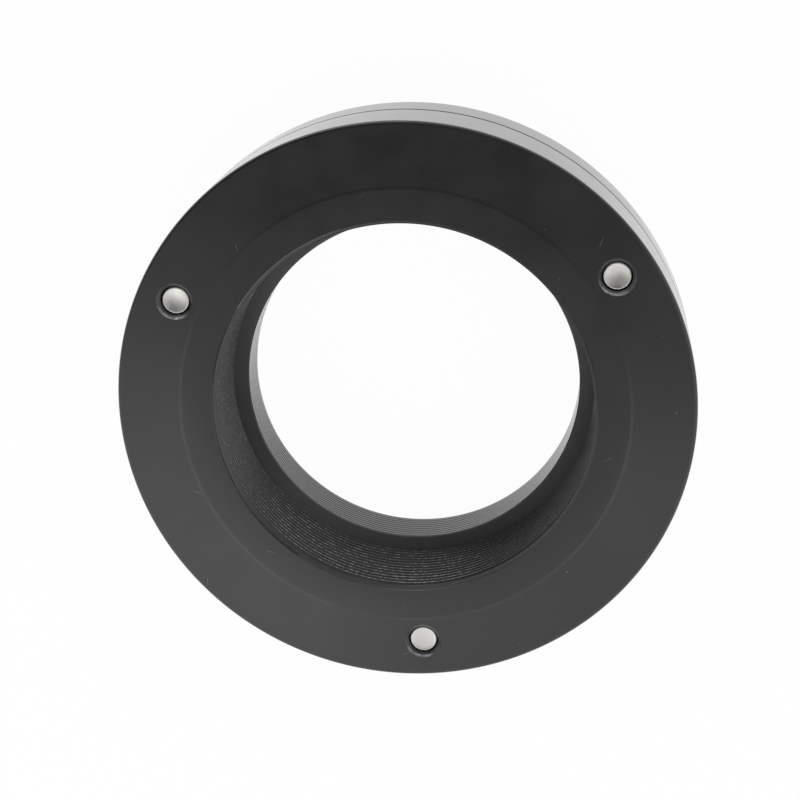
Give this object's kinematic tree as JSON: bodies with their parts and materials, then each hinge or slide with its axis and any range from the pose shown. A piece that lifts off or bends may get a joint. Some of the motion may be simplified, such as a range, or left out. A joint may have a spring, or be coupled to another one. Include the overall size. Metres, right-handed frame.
{
  "type": "focal plane tilt adjusting ring",
  "caption": "Two-plate tilt ring for a camera, female thread in front and male thread behind, set by pull screws that clamp and push screws that part the plates.",
  "frame": {"origin": "centre of the ring on the end face of the male neck, which it lies on", "axes": "+Z along the optical axis, out of the female thread; +Y from the centre away from pull screw 3"},
  "size_m": [0.063, 0.063, 0.0161],
  "materials": {
    "black_anodised": "fine turned and black anodised, satin",
    "stainless": "plain stainless steel, machined"
  },
  "bodies": {
    "rear": {"rear_plate": "black_anodised"},
    "front": {"front_plate": "black_anodised"},
    "pull_1": {"pull_screw_1": "stainless"},
    "pull_2": {"pull_screw_2": "stainless"},
    "pull_3": {"pull_screw_3": "stainless"},
    "push_1": {"push_screw_1": "stainless"},
    "push_2": {"push_screw_2": "stainless"},
    "push_3": {"push_screw_3": "stainless"}
  },
  "joints": [
    {"name": "tilt", "type": "hinge", "parent": "rear", "child": "front", "pos_m": [-0.00376, 0.01312, 0.00855], "axis": [-0.9613, -0.2756, 0], "range_deg": [-0.25, 0.75]},
    {"name": "pull_turn_1", "type": "hinge", "parent": "rear", "child": "pull_1", "pos_m": [0.02364, 0.01365, 0.0055], "axis": [0, 0, 1], "range_deg": [-360, 360]},
    {"name": "pull_turn_2", "type": "hinge", "parent": "rear", "child": "pull_2", "pos_m": [-0.02364, 0.01365, 0.0055], "axis": [0, 0, 1], "range_deg": [-360, 360]},
    {"name": "pull_turn_3", "type": "hinge", "parent": "rear", "child": "pull_3", "pos_m": [0, -0.0273, 0.0055], "axis": [0, 0, 1], "range_deg": [-360, 360]},
    {"name": "push_travel_1", "type": "slide", "parent": "rear", "child": "push_1", "axis": [0, 0, 1], "range_m": [-0.001, 0]},
    {"name": "push_travel_2", "type": "slide", "parent": "rear", "child": "push_2", "axis": [0, 0, 1], "range_m": [-0.001, 0]},
    {"name": "push_travel_3", "type": "slide", "parent": "rear", "child": "push_3", "axis": [0, 0, 1], "range_m": [-0.00018, 0.00054]}
  ],
  "couplings": [
    {"joint": "push_travel_3", "follows": "tilt", "m_per_rad": 0.04095}
  ]
}
